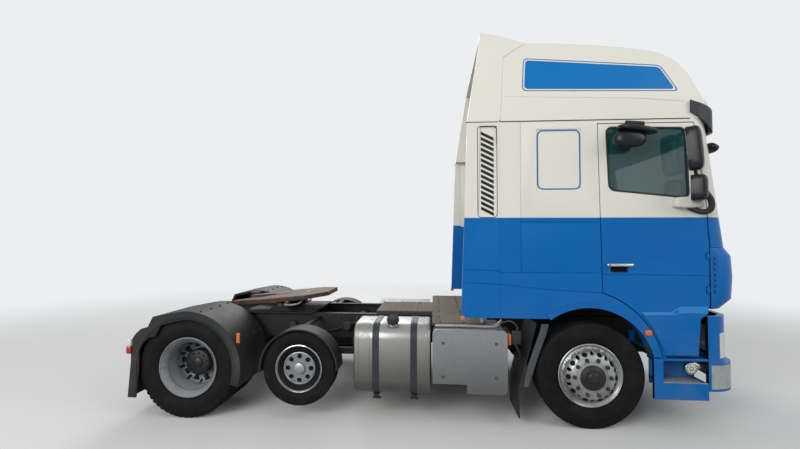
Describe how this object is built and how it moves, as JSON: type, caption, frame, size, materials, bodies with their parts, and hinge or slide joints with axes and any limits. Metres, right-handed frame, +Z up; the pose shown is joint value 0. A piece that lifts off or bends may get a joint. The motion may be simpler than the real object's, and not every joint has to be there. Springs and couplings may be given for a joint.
{
  "type": "semi truck tractor unit",
  "caption": "Cab-over tractor unit with a high-roof sleeper cab, a lifted small-wheeled pusher axle, twin drive wheels and a fifth wheel",
  "frame": {"origin": "on the ground, under the middle of the bounding box", "axes": "+X forward, +Y to the truck's left, +Z up"},
  "size_m": [5.984, 3.024, 3.91],
  "materials": {
    "cab_white": "satin",
    "cab_blue": "satin",
    "trim_grey": "matte",
    "chassis_grey": "matte",
    "guard_black": "matte",
    "tank_alloy": "satin",
    "strap_steel": "satin",
    "box_grey": "satin",
    "deck_alloy": "matte",
    "axle_iron": "matte",
    "spring_steel": "matte",
    "rusty_plate": "rough",
    "rim_alloy": "satin",
    "rim_steel": "satin",
    "tyre_rubber": "matte",
    "glass": "gloss",
    "lamp_red": "gloss",
    "lamp_clear": "gloss",
    "dash_grey": "matte",
    "seat_cloth": "matte"
  },
  "bodies": {
    "chassis": {"frame_rails": "chassis_grey", "engine_block": "axle_iron", "front_axle_beam": "axle_iron", "drive_axle": "axle_iron", "pusher_axle": "axle_iron", "springs": "spring_steel", "propeller_shaft": "axle_iron", "air_tanks": "spring_steel", "fifth_wheel_base": "chassis_grey", "catwalk": "deck_alloy", "fuel_tank": "tank_alloy", "tank_straps": "strap_steel", "side_boxes": "box_grey", "mudguards": "guard_black", "tail_lamps": "lamp_red", "bumper": "cab_blue", "headlamps": "lamp_clear", "entry_steps": "cab_blue"},
    "cab": {"cab_shell": "cab_white", "roof": "cab_white", "cab_extenders": "cab_white", "front_panel": "cab_blue", "windscreen": "glass", "sun_visor": "trim_grey", "front_mirror": "trim_grey", "dashboard": "dash_grey", "seats": "seat_cloth", "bunk": "seat_cloth"},
    "fifth_wheel": {"fifth_wheel_plate": "rusty_plate"},
    "door_right_body": {"door_right": "cab_white", "door_glass_right": "glass", "mirrors_right": "trim_grey"},
    "steer_right_body": {"knuckle_right": "axle_iron"},
    "wheel_front_right": {"rim_front_right": "rim_alloy", "tyre_front_right": "tyre_rubber"},
    "wheels_drive_right": {"rims_drive_right": "rim_steel", "tyres_drive_right": "tyre_rubber"},
    "wheel_pusher_right": {"rim_pusher_right": "rim_steel", "tyre_pusher_right": "tyre_rubber"},
    "door_left_body": {"door_left": "cab_white", "door_glass_left": "glass", "mirrors_left": "trim_grey"},
    "steer_left_body": {"knuckle_left": "axle_iron"},
    "wheel_front_left": {"rim_front_left": "rim_alloy", "tyre_front_left": "tyre_rubber"},
    "wheels_drive_left": {"rims_drive_left": "rim_steel", "tyres_drive_left": "tyre_rubber"},
    "wheel_pusher_left": {"rim_pusher_left": "rim_steel", "tyre_pusher_left": "tyre_rubber"}
  },
  "joints": [
    {"name": "cab_tilt", "type": "hinge", "parent": "chassis", "child": "cab", "pos_m": [2.792, 0, 0.95], "axis": [0, 1, 0], "range_deg": [0, 60]},
    {"name": "fifth_wheel_rock", "type": "hinge", "parent": "chassis", "child": "fifth_wheel", "pos_m": [-1.708, 0, 1.018], "axis": [0, 1, 0], "range_deg": [0, 15]},
    {"name": "door_right_swing", "type": "hinge", "parent": "cab", "child": "door_right_body", "pos_m": [2.628, -1.24, 1.5], "axis": [0, 0, 1], "range_deg": [0, 75]},
    {"name": "steer_right", "type": "hinge", "parent": "chassis", "child": "steer_right_body", "pos_m": [1.592, -0.87, 0.5], "axis": [0, 0, 1], "range_deg": [-38, 38]},
    {"name": "spin_front_right", "type": "hinge", "parent": "steer_right_body", "child": "wheel_front_right", "pos_m": [1.592, -1.033, 0.5], "axis": [0, 1, 0], "continuous": true},
    {"name": "spin_drive_right", "type": "hinge", "parent": "chassis", "child": "wheels_drive_right", "pos_m": [-2.358, -0.9155, 0.5], "axis": [0, 1, 0], "continuous": true},
    {"name": "spin_pusher_right", "type": "hinge", "parent": "chassis", "child": "wheel_pusher_right", "pos_m": [-1.228, -1.092, 0.505], "axis": [0, 1, 0], "continuous": true},
    {"name": "door_left_swing", "type": "hinge", "parent": "cab", "child": "door_left_body", "pos_m": [2.628, 1.24, 1.5], "axis": [0, 0, -1], "range_deg": [0, 75]},
    {"name": "steer_left", "type": "hinge", "parent": "chassis", "child": "steer_left_body", "pos_m": [1.592, 0.87, 0.5], "axis": [0, 0, 1], "range_deg": [-38, 38]},
    {"name": "spin_front_left", "type": "hinge", "parent": "steer_left_body", "child": "wheel_front_left", "pos_m": [1.592, 1.033, 0.5], "axis": [0, 1, 0], "continuous": true},
    {"name": "spin_drive_left", "type": "hinge", "parent": "chassis", "child": "wheels_drive_left", "pos_m": [-2.358, 0.9155, 0.5], "axis": [0, 1, 0], "continuous": true},
    {"name": "spin_pusher_left", "type": "hinge", "parent": "chassis", "child": "wheel_pusher_left", "pos_m": [-1.228, 1.092, 0.505], "axis": [0, 1, 0], "continuous": true}
  ],
  "couplings": [
    {"joint": "steer_left", "follows": "steer_right", "ratio": 1}
  ]
}
